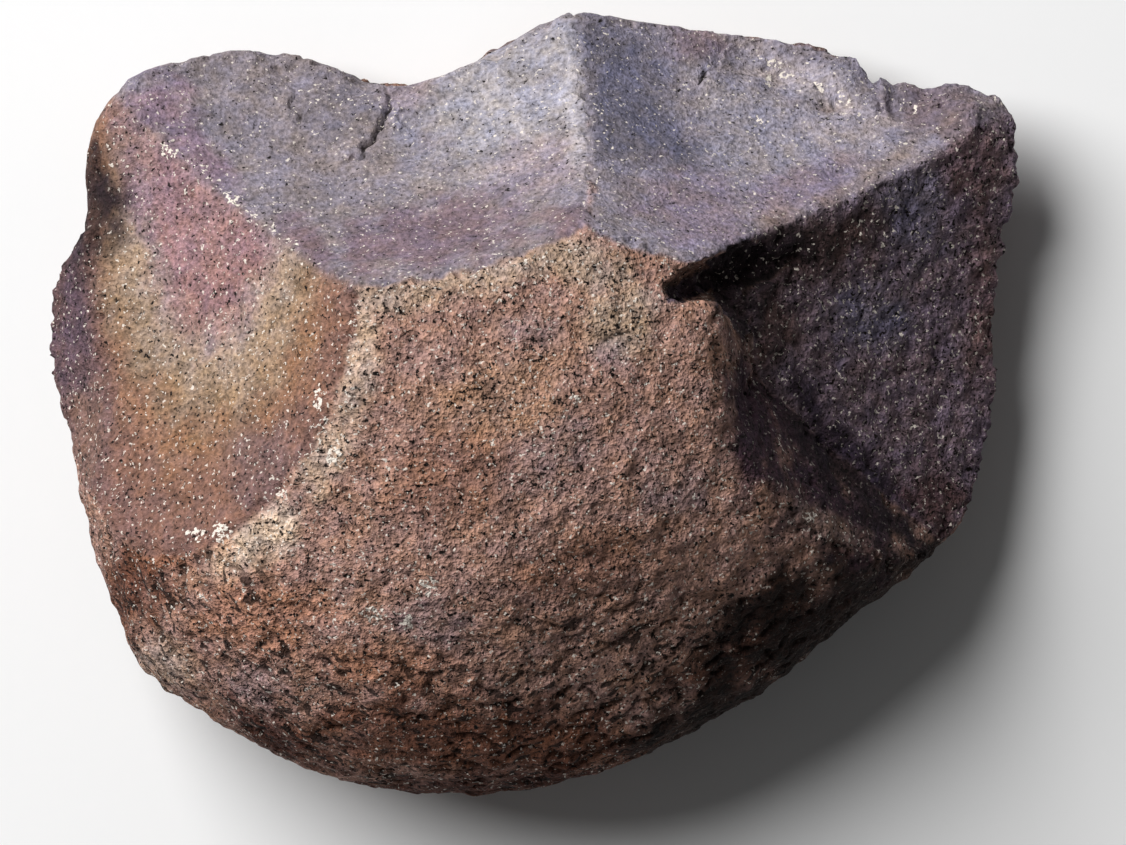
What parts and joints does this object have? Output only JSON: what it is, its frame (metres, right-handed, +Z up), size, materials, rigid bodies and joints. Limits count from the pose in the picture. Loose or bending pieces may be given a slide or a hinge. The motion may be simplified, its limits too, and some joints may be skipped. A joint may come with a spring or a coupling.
{
  "type": "worked pebble tool",
  "caption": "Fist-sized river cobble with flakes struck off three sides to a thin working edge, and a rounded butt left rough for the palm.",
  "frame": {"origin": "middle of the outline seen from above, on the flat that the stone lies on", "axes": "+Z up, away from the flat underside; +Y towards the struck working edge and -Y towards the rounded butt; +X to the right in the picture, along the stone's length"},
  "size_m": [0.105, 0.086, 0.044],
  "materials": {
    "stone": "rough brown cortex, and finer grey-violet, pink and ochre where flakes came off"
  },
  "bodies": {
    "root": {"pebble_tool": "stone"}
  },
  "joints": []
}
